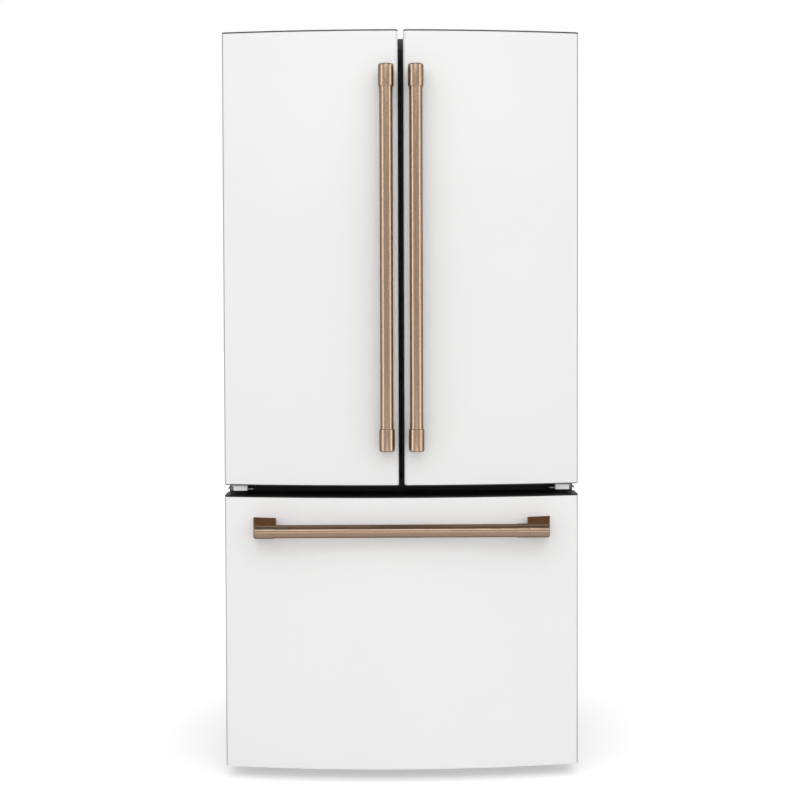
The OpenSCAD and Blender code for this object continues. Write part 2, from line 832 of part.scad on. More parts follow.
module control_panel() {
    color("#e6e7e8") difference() {
        across(-130, 130) polygon([
            [shelf_front - 20, fresh_top], [shelf_front - 12, fresh_top - 13],
            [shelf_front + 60, fresh_top - 16],
            [shelf_front + 76, fresh_top]]);
        rise(fresh_top - 30, fresh_top - 14.4)
            polygon(round_rect(-110, shelf_front + 2, 110, shelf_front + 52, 10));
    }
}

module light_lens() {
    color("#f6f6f0", 0.6) difference() {
        rise(fresh_top - 10, fresh_top)
            polygon(round_rect(-90, shelf_front + 100, 90, shelf_front + 210, 14));
        rise(fresh_top - 8, fresh_top + past)
            polygon(round_rect(-88, shelf_front + 102, 88, shelf_front + 208, 12));
        for (i = [-7:7]) {
            box([i * 11 - 1, shelf_front + 112, fresh_top - 11],
                [i * 11 + 1, shelf_front + 198, fresh_top - 9.2]);
        }
    }
}

// ---------------------------------------------------------------- hinges

module screw(p, turn) {
    // Pan head on a short shank, the head's underside at p, the shank along -Z before the turn
    translate(p) rotate(turn) difference() {
        union() {
            cylinder(h = head_h, r = head_r, $fn = 32);
            translate([0, 0, -plate_t]) cylinder(h = plate_t + 1, r = 2.4, $fn = 24);
        }
        translate([-0.5, -2.6, 1.6]) cube([1, 5.2, 2]);
        translate([-2.6, -0.5, 1.6]) cube([5.2, 1, 2]);
    }
}

centre_plate_z = door_z0 - 10;
top_holes = [[-6, 40], [14, 40], [4, 90]];
centre_holes = [-8, 13];

module top_bracket() {
    difference() {
        union() {
            rise(case_z1, case_z1 + plate_t) polygon(concat(
                arc(-hinge_x, hinge_y, 14, 180, 360, 2 * arc_n),
                [[-hinge_x + 24, y_case + 30], [-hinge_x + 24, y_case + 116],
                 [-hinge_x - 14, y_case + 116]]));
            bar_z([-hinge_x, hinge_y, door_z1 - cap_plug + 2], pin_r,
                  case_z1 + plate_t - door_z1 + cap_plug - 2);
        }
        for (h = top_holes) {
            bar_z([-hinge_x + h[0], y_case + h[1] - 12, case_z1 - past], 2.6, plate_t + 2 * past);
        }
    }
}

module centre_bracket() {
    difference() {
        union() {
            rise(centre_plate_z - plate_t, centre_plate_z) polygon(concat(
                [[-case_x + 3, y_case], [-case_x + 3, hinge_y - 10]],
                arc(-hinge_x + 3, hinge_y - 9, 10, 180, 270, arc_n),
                [[-hinge_x + 44, hinge_y - 19], [-hinge_x + 44, y_case]]));
            box([-case_x + 3, y_case - plate_t, centre_plate_z - 14],
                [-hinge_x + 22, y_case, centre_plate_z + 8]);
            bar_z([-hinge_x, hinge_y, centre_plate_z - plate_t], pin_r,
                  door_z0 + cap_plug - 2 - centre_plate_z + plate_t);
            bar_z([-hinge_x, hinge_y, centre_plate_z - 1], pin_r + 4, door_z0 - slip - centre_plate_z + 1);
        }
        for (x = centre_holes) {
            bar_y([-hinge_x + x, y_case - 2 * plate_t, centre_plate_z - 8], 2.6, 3 * plate_t);
        }
    }
}

module hinge_brackets() {
    color("#b4b6b9") both() {
        top_bracket();
        centre_bracket();
    }
}

module hinge_blocks() {
    color("#e8e8e8") both() difference() {
        rise(centre_plate_z - 5, centre_plate_z + 8) polygon(round_rect(
            -hinge_x - 2, hinge_y - 27, -hinge_x + 31, hinge_y - 10, 3));
        box([-front_x, hinge_y - 19 - slip, centre_plate_z - plate_t], [0, hinge_y, centre_plate_z]);
    }
}

module cover_side(t) {
    polygon([
        [y_case - 25 + t, case_z1 + plate_t + slip], [y_case - 25 + t, case_z1 + plate_t + 4 - t],
        [y_case + 22, case_z1 + cover_h - 5 - t], [y_case + 77, case_z1 + cover_h - t],
        [y_case + 116 - t, case_z1 + cover_h - t], [y_case + 122 - t, case_z1 + cover_h - 7 - t],
        [y_case + 122 - t, case_z1 - (t > 0 ? past : 0)], [y_case + t, case_z1 - (t > 0 ? past : 0)],
        [y_case + t, case_z1 + plate_t + slip]]);
}

module hinge_covers() {
    color("#2b2c2e") both() difference() {
        across(-case_x, -hinge_x + 30) cover_side(0);
        across(-case_x + 2, -hinge_x + 28) cover_side(2);
        box([-case_x + 2, y_case - 40, case_z1 - past],
            [-hinge_x + 28, y_case + 20, case_z1 + plate_t + slip]);
    }
}

module screws() {
    color("#9a9da1") {
        both() {
            for (h = top_holes) {
                screw([-hinge_x + h[0], y_case + h[1] - 12, case_z1 + plate_t], [0, 0, 0]);
            }
            for (x = centre_holes) {
                screw([-hinge_x + x, y_case - plate_t, centre_plate_z - 8], [90, 0, 0]);
            }
            for (z = cover_screw_z) screw([case_x - 9, y_back - head_h, z], [-90, 0, 0]);
        }
    }
}

// ---------------------------------------------------------------- fronts

return_w = 12;

module front_skin(x0, x1, z0, z1) {
    rise(z0, z1) difference() {
        polygon(panel(x0, x1, 0, y_seal));
        polygon(panel(x0, x1, skin_t, y_seal - skin_t));
        translate([x0 + return_w, y_seal - skin_t - past])
            square([x1 - x0 - 2 * return_w, skin_t + 2 * past]);
    }
}

// Foamed inside of a front and the flat part of its liner
module front_core(x0, x1, z0, z1) {
    rise(z0 + cap_plug, z1 - cap_plug) polygon(panel(x0, x1, skin_t, y_seal - skin_t));
    box([x0 + return_w, y_seal - skin_t - past, z0 + cap_plug], [x1 - return_w, y_seal, z1 - cap_plug]);
}

module front_caps(x0, x1, z0, z1) {
    rise(z0, z0 + cap_plug) polygon(panel(x0, x1, skin_t, y_seal - skin_t));
    rise(z1 - cap_plug, z1 + past / 2) polygon(panel(x0, x1, skin_t, y_seal - skin_t));
    rise(z1, z1 + cap_lip) polygon(panel(x0, x1, 0, y_seal));
    for (z = [z0, z1 - cap_plug]) {
        box([x0 + return_w, y_seal - skin_t - past, z], [x1 - return_w, y_seal, z + cap_plug]);
    }
}

module seal(x0, z0, x1, z1) {
    lip = 3;
    ring(x0 + lip, z0 + lip, x1 - lip, z1 - lip, seal_w - 2 * lip, 4, y_seal, y_seal + seal_gap * 0.4);
    ring(x0, z0, x1, z1, seal_w, 5, y_seal + seal_gap * 0.4 - 0.2, y_case - 0.4);
}

seal_side = front_x - 26;
seal_mid = 8;
seal_low = door_z0 + 2;
seal_top = fresh_top + 6 + seal_w;

// The doors are drawn on the left, between these two sides
door_x0 = -front_x;
door_x1 = -door_gap / 2;
dyke_x0 = -in_x + 6;
dyke_x1 = -fold_x - 16;
dyke_z0 = fresh_floor + 10;
dyke_z1 = fresh_top - 16;
dyke_mid = dyke_w + 4;
y_dyke = y_seal + dyke_d;
bin_low = [for (i = [0:2]) fresh_floor + 234 + i * bin_pitch];
bin_x0 = dyke_x0 + dyke_w + 0.5;
bin_x1 = dyke_x1 - dyke_mid - 0.5;

module door_skin() {
    color("#efefee") front_skin(door_x0, door_x1, door_z0, door_z1);
}

module door_liner() {
    color("#f5f5f3") {
        front_core(door_x0, door_x1, door_z0, door_z1);
        deep(y_seal - past, y_dyke) difference() {
            polygon(round_rect(dyke_x0, dyke_z0, dyke_x1, dyke_z1, 18));
            polygon(round_rect(dyke_x0 + dyke_w, dyke_z0 + dyke_w,
                               dyke_x1 - dyke_mid, dyke_z1 - dyke_w, 12));
        }
        // Lugs that the bins hang on
        for (z = bin_low) {
            box([dyke_x0 + dyke_w - 1, y_seal + 10, z - 14], [bin_x0 + 8, y_dyke - 6, z - slip]);
            box([bin_x1 - 8, y_seal + 10, z - 14], [dyke_x1 - dyke_mid + 1, y_dyke - 6, z - slip]);
        }
    }
}

module door_gasket() {
    color("#242425") {
        seal(-seal_side, seal_low, -seal_mid, seal_top);
        // Soft fin that narrows the gap between the doors
        box([-seal_mid - 4, y_seal, seal_low], [-2, y_seal + 1.4, seal_top]);
    }
}

module door_caps() {
    color("#5b5c5f") difference() {
        front_caps(door_x0, door_x1, door_z0, door_z1);
        bar_z([-hinge_x, hinge_y, door_z0 - past], pin_r + run, cap_plug + past);
        bar_z([-hinge_x, hinge_y, door_z1 - cap_plug], pin_r + run, cap_plug + cap_lip + past);
    }
}

module bin(z) {
    t = 3;
    y0 = y_seal + 1;
    y1 = y_dyke + bin_out;
    difference() {
        union() {
            rise(z, z + bin_h) polygon(concat(
                [[bin_x1, y0], [bin_x1, y1 - 26]],
                arc(bin_x1 - 26, y1 - 26, 26, 0, 90, arc_n),
                arc(bin_x0 + 26, y1 - 26, 26, 90, 180, arc_n),
                [[bin_x0, y0]]));
        }
        rise(z + t, z + bin_h + past) polygon(concat(
            [[bin_x1 - t, y0 + t], [bin_x1 - t, y1 - 26]],
            arc(bin_x1 - 26, y1 - 26, 26 - t, 0, 90, arc_n),
            arc(bin_x0 + 26, y1 - 26, 26 - t, 90, 180, arc_n),
            [[bin_x0 + t, y0 + t]]));
        // Lower back edge and stepped front
        box([bin_x0 + 14, y0 - past, z + bin_h - 22], [bin_x1 - 14, y0 + t + past, z + bin_h + past]);
    }
    box([bin_x0 + 26, y1 - t - 5, z + bin_h - 7], [bin_x1 - 26, y1 - t + 1, z + bin_h]);
}

module door_bins() {
    color("#dfeaec", 0.6) for (z = bin_low) bin(z);
}

// ---------------------------------------------------------------- handles

taper = 3;
socket = 20;
groove = 0.3;

// A handle end about Z: its outer face at 0, its socket open towards +Z
module end_body(l, r) {
    e = 3;
    rotate_extrude($fn = 64) polygon(concat(
        [[0, 0], [r - e, 0]],
        arc(r - e, e, e, 270, 360, 4),
        [[r, l], [bar_d / 2 + 0.5, l + taper], [0, l + taper]]));
}

module end_socket(l) {
    translate([0, 0, l - socket]) cylinder(h = socket + taper + past, r = bar_d / 2 + run, $fn = 64);
}

module bar_tube(l) {
    difference() {
        cylinder(h = l, r = bar_d / 2, $fn = 64);
        translate([0, 0, -past]) cylinder(h = l + 2 * past, r = bar_d / 2 - bar_wall, $fn = 64);
    }
}

handle_z0 = door_z0 + handle_up;

module door_handle_end() {
    post_w = end_d - 6;
    difference() {
        union() {
            end_body(door_end_l, end_d / 2);
            across(-post_w / 2, post_w / 2) polygon([
                [0, 0.6], [y_edge - y_bar, 0.6], [y_edge - y_bar, door_end_l], [0, door_end_l]]);
        }
        end_socket(door_end_l);
    }
}

module door_handle_ends() {
    color("#8a7056") difference() {
        union() {
            translate([-handle_x, y_bar, handle_z0]) door_handle_end();
            translate([-handle_x, y_bar, handle_z0 + handle_l]) mirror([0, 0, 1]) door_handle_end();
        }
        rise(0, case_z1) polygon(panel(door_x0, door_x1, 0, y_seal));
    }
}

module door_handle_bar() {
    color("#9a7f62") translate([-handle_x, y_bar, handle_z0 + door_end_l - socket + groove])
        bar_tube(handle_l - 2 * (door_end_l - socket + groove));
}

bar_z0 = drawer_z1 - bar_down;

// Foot of a freezer handle's end, spreading from the tube towards the front
module drawer_foot(l) {
    spread = 9.5;
    lean_out = 11;
    lean_in = 2.4;
    r = drawer_end_d / 2;
    depth = y_edge - y_bar;
    intersection() {
        rise(-lean_out - past, l + past) polygon([
            [1 - r, 0], [-r - spread, depth], [r + spread, depth], [r - 1, 0]]);
        across(-2 * r, 2 * r) polygon([[-past, 0.8], [depth, -lean_out], [depth, l - lean_in], [-past, l]]);
    }
}

module drawer_handle_end() {
    difference() {
        union() {
            end_body(drawer_end_l, drawer_end_d / 2);
            drawer_foot(drawer_end_l + taper);
        }
        end_socket(drawer_end_l);
    }
}

module freezer_handle_ends() {
    collar_x = bar_l / 2 - drawer_end_l - taper - groove;
    r = drawer_end_d / 2;
    color("#8a7056") {
        difference() {
            both() translate([-bar_l / 2, y_bar, bar_z0]) rotate([0, 90, 0]) drawer_handle_end();
            rise(0, case_z1) polygon(panel(-front_x, front_x, 0, y_seal));
        }
        translate([collar_x - collar_l, y_bar, bar_z0]) rotate([0, 90, 0]) rotate_extrude($fn = 64)
            polygon([
                [bar_d / 2 + run, 0], [r - 0.6, 0], [r, 0.6],
                [r, collar_l - 0.6], [r - 0.6, collar_l], [bar_d / 2 + run, collar_l]]);
    }
}

module freezer_handle_bar() {
    l = bar_l - 2 * (drawer_end_l - socket + groove);
    color("#9a7f62") translate([-l / 2, y_bar, bar_z0]) rotate([0, 90, 0]) bar_tube(l);
}

// ---------------------------------------------------------------- folding centre bar

fold_r = fold_t / 2;
fold_y = y_case + fold_r + 0.4;
fold_z0 = fresh_floor + 4;
fold_z1 = fresh_top - 16;
notch_h = 30;
notch_z = [fresh_floor + 78, fresh_top - 120];
pivot_r = 2.5;
guide_z = fresh_top - 12;

module mullion_bar() {
    color("#2a2a2b") translate([-fold_x, fold_y, 0]) difference() {
        union() {
            rise(fold_z0, fold_z1) polygon(concat(
                arc(0, 0, fold_r, 180, 360, 2 * arc_n),
                arc(fold_r - 3, fold_w - fold_r - 3, 3, 0, 90, 3),
                arc(3 - fold_r, fold_w - fold_r - 3, 3, 90, 180, 3)));
            bar_z([0, guide_arm, fold_z1 - past], guide_r, guide_z - fold_z1 + 9);
        }
        for (z = notch_z) {
            box([-fold_t, -fold_t, z], [fold_t, 14, z + notch_h]);
            bar_z([0, 0, z - 12], pivot_r + run, notch_h + 24);
        }
        // Shallow channel down the face that the seals meet
        box([fold_r - 0.8, 8, fold_z0 + 20], [fold_r + past, 14, fold_z1 - 20]);
    }
}

module mullion_pivots() {
    x = dyke_x1 + fold_x;
    color("#a5a7aa") translate([-fold_x, fold_y, 0]) for (z = notch_z) {
        bar_z([0, 0, z + slip], 6.2, notch_h - 2 * slip);
        bar_z([0, 0, z - 11], pivot_r, notch_h + 22);
        box([x, -2.5, z + slip], [0, 2.5, z + notch_h - slip]);
        box([x, -6, z - 8], [x + 2, 22, z + notch_h + 8]);
    }
}

module mullion_guide() {
    slot_r = guide_r + 3;
    depth = 10;
    exit_x = 10.5;
    color("#3b3c3e") difference() {
        rise(guide_z, fresh_top) polygon(round_rect(
            -fold_x - 34, fold_y - 2, -fold_x + guide_arm + 24, fold_y + guide_arm + 18, 6));
        // Arc that turns the bar as the door closes
        rise(guide_z - past, guide_z + depth) polygon(concat(
            arc(-fold_x, fold_y, guide_arm + slot_r, -12, 93, 3 * arc_n),
            arc(-fold_x, fold_y, guide_arm - slot_r, 93, -12, 3 * arc_n)));
        // Way out for the pin as the door swings open
        rise(guide_z - past, guide_z + depth) polygon([
            [-fold_x - slot_r, fold_y + guide_arm + slot_r + 2],
            [-fold_x + slot_r, fold_y + guide_arm + slot_r + 2],
            [-fold_x + slot_r + exit_x + 3, fold_y - 10], [-fold_x - slot_r + exit_x - 6, fold_y - 10]]);
    }
}

// ---------------------------------------------------------------- freezer drawer

plug_x = in_x - 6;
plug_z0 = freezer_floor + 10;
plug_z1 = freezer_top - 10;
plug_d = dyke_d - 10;
y_plug = y_seal + plug_d;

module freezer_front_liner() {
    color("#f5f5f3") {
        front_core(-front_x, front_x, drawer_z0, drawer_z1);
        deep(y_seal - past, y_plug) difference() {
            polygon(round_rect(-plug_x, plug_z0, plug_x, plug_z1, 18));
            polygon(round_rect(-plug_x + 30, plug_z0 + 24, plug_x - 30, plug_z1 - 24, 14));
        }
    }
}

slide_z = freezer_floor + slide_up;
slide_y0 = y_plug + 10;
rail_l = y_cover - rail_gap - slide_y0;
tin = 1.5;
u_web = 0.8;

// A channel of sheet against the side wall: drawn in X and Z, u in from the wall
module channel(u0, u1, half, lip) {
    polygon([
        [in_x - u0, slide_z - half], [in_x - u0, slide_z + half],
        [in_x - u1, slide_z + half], [in_x - u1, slide_z + half - lip],
        [in_x - u1 + tin, slide_z + half - lip], [in_x - u1 + tin, slide_z + half - tin],
        [in_x - u0 - tin, slide_z + half - tin], [in_x - u0 - tin, slide_z - half + tin],
        [in_x - u1 + tin, slide_z - half + tin], [in_x - u1 + tin, slide_z - half + lip],
        [in_x - u1, slide_z - half + lip], [in_x - u1, slide_z - half]]);
}

module outer_rails() {
    color("#b8babd") both() {
        deep(slide_y0, slide_y0 + rail_l) channel(0, 14, 22, 6);
        box([in_x - 14, slide_y0 + rail_l - 2, slide_z - 22], [in_x, slide_y0 + rail_l, slide_z + 22]);
    }
}

middle_l = rail_l - 50;

module slide_middles() {
    half = 22 - tin - slip;
    color("#a9abae") both()
        deep(slide_y0, slide_y0 + middle_l) channel(tin + u_web, 14 - tin - slip, half, 5.5);
}

arm_x = in_x - 20;
arm_l = rail_l - 60;
ledge_w = 9;
basket_x = arm_x - 12;
basket_z1 = slide_z - 16;
basket_y0 = y_plug + 12;
basket_y1 = step_y - basket_gap;
arm_z0 = basket_z1 - 6;

module basket_frame() {
    half = 22 - 2 * tin - 2 * slip;
    color("#9b9da1") {
        both() {
            // Inner member, inside the middle one, and its stem
            deep(slide_y0, slide_y0 + arm_l) polygon([
                [in_x - 2 * tin - 2 * u_web, slide_z - half], [in_x - 2 * tin - 2 * u_web, slide_z + half],
                [in_x - 10, slide_z + half], [in_x - 10, slide_z + 12],
                [in_x - 17, slide_z + 12], [in_x - 17, slide_z - 12],
                [in_x - 10, slide_z - 12], [in_x - 10, slide_z - half]]);
            // Side arm with the ledge that the basket's rim sits on
            box([arm_x, y_plug, arm_z0], [arm_x + 3.5, slide_y0 + arm_l, slide_z + 20]);
            box([arm_x - ledge_w, y_plug, arm_z0], [arm_x + 1, slide_y0 + arm_l, arm_z0 + 3]);
            box([arm_x - ledge_w, basket_y1 + 2, arm_z0], [arm_x + 1, slide_y0 + arm_l, basket_z1]);
            // Foot that bolts to the front's inner panel
            box([arm_x - 30, y_plug, slide_z - 40], [arm_x + 3.5, y_plug + 4, slide_z + 40]);
        }
        box([-arm_x, slide_y0 + arm_l - 14, arm_z0], [arm_x, slide_y0 + arm_l, arm_z0 + 3]);
    }
}

basket_low = freezer_floor + 17;
basket_t = 2.5;

module lower_basket() {
    r = 26;
    slot_w = 8;
    slots = 20;
    pitch = (2 * basket_x - 2 * r - 20) / slots;
    color("#eef2f3", 0.8) {
        difference() {
            union() {
                rise(basket_low, basket_z1)
                    polygon(round_rect(-basket_x, basket_y0, basket_x, basket_y1, r));
                rise(basket_z1 - 3, basket_z1) polygon(round_rect(
                    -arm_x + 1, basket_y0, arm_x - 1, basket_y1, 10));
            }
            rise(basket_low + basket_t, basket_z1 + past) polygon(round_rect(
                -basket_x + basket_t, basket_y0 + basket_t,
                basket_x - basket_t, basket_y1 - basket_t, r - basket_t));
            // Slots down the front and back, and a grip in the front edge
            for (i = [0:slots - 1]) {
                x = -basket_x + r + 10 + (i + 0.5) * pitch;
                box([x - slot_w / 2, basket_y0 - past, basket_low + 40],
                    [x + slot_w / 2, basket_y1 + past, basket_z1 - 90]);
            }
            box([-70, basket_y0 - past, basket_z1 - 40], [70, basket_y0 + basket_t + past, basket_z1 - 16]);
        }
    }
}

tray_x = arm_x - 22;
tray_z0 = basket_z1 + slip;
tray_y1 = y_cover - 20;
tray_y0 = tray_y1 - tray_d;

module upper_tray() {
    t = 2.5;
    r = 20;
    color("#e6edf0", 0.7) difference() {
        union() {
            rise(tray_z0, tray_z0 + tray_h) polygon(round_rect(-tray_x, tray_y0, tray_x, tray_y1, r));
            rise(tray_z0, tray_z0 + 3) polygon(round_rect(-arm_x + 2, tray_y0, arm_x - 2, tray_y1, 6));
            rise(tray_z0 + tray_h - 4, tray_z0 + tray_h)
                polygon(round_rect(-tray_x - 5, tray_y0 - 5, tray_x + 5, tray_y1 + 5, r + 5));
        }
        rise(tray_z0 + t, tray_z0 + tray_h + past)
            polygon(round_rect(-tray_x + t, tray_y0 + t, tray_x - t, tray_y1 - t, r - t));
        box([-60, tray_y0 - past, tray_z0 + tray_h - 34], [60, tray_y0 + t + past, tray_z0 + tray_h - 14]);
    }
}

// ---------------------------------------------------------------- nodes

module left_leg() { leg(-1); }
module right_leg() { leg(1); }
module right_crisper() { color("#d9e6e8", 0.6) crisper(); }
module left_crisper() { color("#d9e6e8", 0.6) mirror([1, 0, 0]) crisper(); }
module left_door_skin() { door_skin(); }
module left_door_liner() { door_liner(); }
module left_door_gasket() { door_gasket(); }
module left_door_caps() { door_caps(); }
module left_handle_bar() { door_handle_bar(); }
module left_handle_ends() { door_handle_ends(); }
module left_door_bins() { door_bins(); }
module right_door_skin() { mirror([1, 0, 0]) door_skin(); }
module right_door_liner() { mirror([1, 0, 0]) door_liner(); }
module right_door_gasket() { mirror([1, 0, 0]) door_gasket(); }
module right_door_caps() { mirror([1, 0, 0]) door_caps(); }
module right_handle_bar() { mirror([1, 0, 0]) door_handle_bar(); }
module right_handle_ends() { mirror([1, 0, 0]) door_handle_ends(); }
module right_door_bins() { mirror([1, 0, 0]) door_bins(); }
module freezer_skin() { color("#efefee") front_skin(-front_x, front_x, drawer_z0, drawer_z1); }
module freezer_caps() { color("#1f1f20") front_caps(-front_x, front_x, drawer_z0, drawer_z1); }
module freezer_gasket() {
    color("#242425") seal(-seal_side, freezer_floor - 7 - seal_w, seal_side, freezer_top + 4 + seal_w);
}

cabinet_shell();
back_panel();
foam_insulation();
fresh_food_liner();
freezer_liner();
mullion_trim();
base_frame();
toe_grille();
rear_cover();
compressor();
condenser();
drain_pan();
evaporator();
evaporator_cover();
air_duct();
control_panel();
light_lens();
shelf_rails();
shelf_frames();
shelf_glass();
hinge_brackets();
hinge_blocks();
hinge_covers();
outer_rails();
mullion_guide();
screws();
left_leg();
right_leg();
rear_rollers();
condenser_fan();
evaporator_fan();
left_crisper();
right_crisper();
humidity_slider();
left_door_skin();
left_door_liner();
left_door_gasket();
left_door_caps();
left_handle_bar();
left_handle_ends();
left_door_bins();
right_door_skin();
right_door_liner();
right_door_gasket();
right_door_caps();
right_handle_bar();
right_handle_ends();
right_door_bins();
mullion_bar();
mullion_pivots();
freezer_skin();
freezer_front_liner();
freezer_gasket();
freezer_caps();
freezer_handle_bar();
freezer_handle_ends();
basket_frame();
lower_basket();
upper_tray();
slide_middles();
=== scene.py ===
import json
import math

import bmesh
import bpy
from mathutils import Matrix, Vector

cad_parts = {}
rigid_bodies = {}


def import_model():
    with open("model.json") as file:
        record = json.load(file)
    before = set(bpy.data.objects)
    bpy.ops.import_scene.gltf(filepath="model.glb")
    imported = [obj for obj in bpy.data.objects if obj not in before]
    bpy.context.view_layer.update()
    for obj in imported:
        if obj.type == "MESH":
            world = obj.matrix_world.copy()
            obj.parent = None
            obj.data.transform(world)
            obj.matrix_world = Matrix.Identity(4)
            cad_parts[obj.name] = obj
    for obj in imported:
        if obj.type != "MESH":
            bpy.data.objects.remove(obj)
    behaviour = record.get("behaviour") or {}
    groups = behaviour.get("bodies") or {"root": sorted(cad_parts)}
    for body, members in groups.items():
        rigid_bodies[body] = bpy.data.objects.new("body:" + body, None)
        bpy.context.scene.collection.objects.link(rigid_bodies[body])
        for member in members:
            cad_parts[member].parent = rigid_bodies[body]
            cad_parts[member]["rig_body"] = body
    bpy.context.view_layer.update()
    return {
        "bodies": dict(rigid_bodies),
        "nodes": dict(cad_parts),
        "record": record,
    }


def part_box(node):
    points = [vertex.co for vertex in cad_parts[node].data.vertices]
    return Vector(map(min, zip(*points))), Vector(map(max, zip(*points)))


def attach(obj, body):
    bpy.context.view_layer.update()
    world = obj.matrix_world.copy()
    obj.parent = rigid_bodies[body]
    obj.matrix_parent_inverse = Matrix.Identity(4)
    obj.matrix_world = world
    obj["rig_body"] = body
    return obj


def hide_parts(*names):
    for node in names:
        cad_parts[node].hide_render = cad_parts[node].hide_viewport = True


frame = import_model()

# The refrigerator's looks: finishes, sheet fronts, seals, tubes, rounded edges, floor and light
NODES = frame["nodes"]
SLOTS = {row["node"]: row["material_slot"] for row in frame["record"]["subparts"]}
MM = 0.001
X_AXIS = 0
Z_AXIS = 2
scene = bpy.context.scene

# Only the frame's own objects stay
for stray in set(bpy.data.objects) - set(NODES.values()) - set(frame["bodies"].values()):
    bpy.data.objects.remove(stray)


# ------------------------------------------------------------------ camera

# Metres, then radians, then millimetres for the lens and the sensor
CAMERA_PLACE = (-0.038, -3.305, 1.079)
YAW = 0.0117
PITCH = -0.0254
ROLL = 0.0031
LENS = 57.57
SENSOR = 36
SHIFT_UP = -0.06
CLIP_END = 200


def make_camera():
    """The camera fitted to the outlines of the doors, the gaps and the handles."""
    data = bpy.data.cameras.new("camera")
    cam = bpy.data.objects.new("camera", data)
    scene.collection.objects.link(cam)
    ahead = Vector((math.sin(YAW) * math.cos(PITCH), math.cos(YAW) * math.cos(PITCH), math.sin(PITCH)))
    right = ahead.cross(Vector((ROLL, 0, 1))).normalized()
    up = right.cross(ahead)
    turn = Matrix((right, up, -ahead)).transposed().to_4x4()
    cam.matrix_world = Matrix.Translation(CAMERA_PLACE) @ turn
    data.sensor_width = SENSOR
    data.lens = LENS
    data.shift_y = SHIFT_UP
    data.clip_end = CLIP_END
    scene.camera = cam


make_camera()


# ------------------------------------------------------------------ node trees

# Places of the sockets that a Mix node uses for colours, since their names recur
MIX_SHARE = 0
MIX_BASE = 6
MIX_OVER = 7
MIX_COLOUR = 2


def tint(colour, factor):
    return tuple(min(1.0, c * factor) for c in colour)


class Graph:
    """A node tree, with short calls for the nodes that recur."""

    def __init__(self, tree):
        self.tree = tree

    def add(self, kind, **settings):
        node = self.tree.nodes.new(kind)
        for key, value in settings.items():
            setattr(node, key, value)
        return node

    def put(self, socket, value):
        """A link from another socket, or a fixed value."""
        if isinstance(value, bpy.types.NodeSocket):
            self.tree.links.new(value, socket)
        else:
            socket.default_value = value

    def maths(self, operation, *values):
        node = self.add("ShaderNodeMath", operation=operation)
        for socket, value in zip(node.inputs, values):
            self.put(socket, value)
        return node.outputs["Value"]

    def span(self, value, low, high, at=(0.3, 0.7)):
        """Number between low and high as the value goes between the two marks."""
        node = self.add("ShaderNodeMapRange")
        self.put(node.inputs["Value"], value)
        self.put(node.inputs["From Min"], at[0])
        self.put(node.inputs["From Max"], at[1])
        self.put(node.inputs["To Min"], low)
        self.put(node.inputs["To Max"], high)
        return node.outputs["Result"]

    def seen(self):
        """1 for rays from the camera, from gloss and through glass, else 0."""
        path = self.add("ShaderNodeLightPath")
        value = path.outputs["Is Camera Ray"]
        for kind in ("Is Glossy Ray", "Is Transmission Ray"):
            value = self.maths("MAXIMUM", value, path.outputs[kind])
        return value


class Surface(Graph):
    """A material's node tree. Its patterns lie in the object's own metres."""

    def __init__(self, name="surface"):
        self.mat = bpy.data.materials.new(name)
        self.mat.use_nodes = True
        super().__init__(self.mat.node_tree)
        self.shader = self.tree.nodes["Principled BSDF"]
        coordinates = self.add("ShaderNodeTexCoord")
        self.place = coordinates.outputs["Object"]
        self.facing = coordinates.outputs["Normal"]

    def set(self, **values):
        """Values for the shader's sockets, by name with _ for a space."""
        for key, value in values.items():
            self.put(self.shader.inputs[key.replace("_", " ")], value)

    def stretched(self, scale):
        node = self.add("ShaderNodeMapping")
        self.put(node.inputs["Vector"], self.place)
        self.put(node.inputs["Scale"], scale)
        return node.outputs["Vector"]

    def noise(self, scale, detail, rough=0.5, stretch=None):
        node = self.add("ShaderNodeTexNoise")
        self.put(node.inputs["Vector"], self.stretched(stretch) if stretch else self.place)
        self.put(node.inputs["Scale"], scale)
        self.put(node.inputs["Detail"], detail)
        self.put(node.inputs["Roughness"], rough)
        return node.outputs["Fac"]

    def cells(self, scale):
        node = self.add("ShaderNodeTexVoronoi", feature="F1")
        self.put(node.inputs["Vector"], self.place)
        self.put(node.inputs["Scale"], scale)
        return node

    def ramp(self, value, low, high, at=(0.35, 0.65)):
        """Colour between low and high as the value goes between the two marks."""
        node = self.add("ShaderNodeValToRGB")
        self.put(node.inputs["Fac"], value)
        for stop, mark, tone in zip(node.color_ramp.elements, at, (low, high)):
            stop.position = mark
            stop.color = (*tone, 1)
        return node.outputs["Color"]

    def varied(self, value, colour, vary, at=(0.35, 0.65)):
        """The colour, from a share darker to the same share lighter."""
        return self.ramp(value, tint(colour, 1 - vary), tint(colour, 1 + vary), at)

    def mixed(self, share, base, over, blend="MIX"):
        """Colour of base with a share of over on it."""
        node = self.add("ShaderNodeMix", data_type="RGBA", blend_type=blend)
        self.put(node.inputs[MIX_SHARE], share)
        self.put(node.inputs[MIX_BASE], base)
        self.put(node.inputs[MIX_OVER], over)
        return node.outputs[MIX_COLOUR]

    def across(self, vector):
        """Size of a vector's X part."""
        parts = self.add("ShaderNodeSeparateXYZ")
        self.put(parts.inputs["Vector"], vector)
        return self.maths("ABSOLUTE", parts.outputs["X"])

    def bump(self, value, depth, below=None):
        node = self.add("ShaderNodeBump")
        self.put(node.inputs["Height"], value)
        self.put(node.inputs["Distance"], depth)
        if below:
            self.put(node.inputs["Normal"], below)
        return node.outputs["Normal"]


# ------------------------------------------------------------------ materials

# Painted shade: the grey of the faces turned sideways comes in between these marks, as a face turns
# sideways and lies off the middle
SIDE_SHADE_TURN = (0.50, 0.80)
SIDE_SHADE_FROM = (0.30, 0.32)
# The pattern's scale along the brushing, so that a brushed line is about 80 times as long as it is wide
BRUSH = 0.012
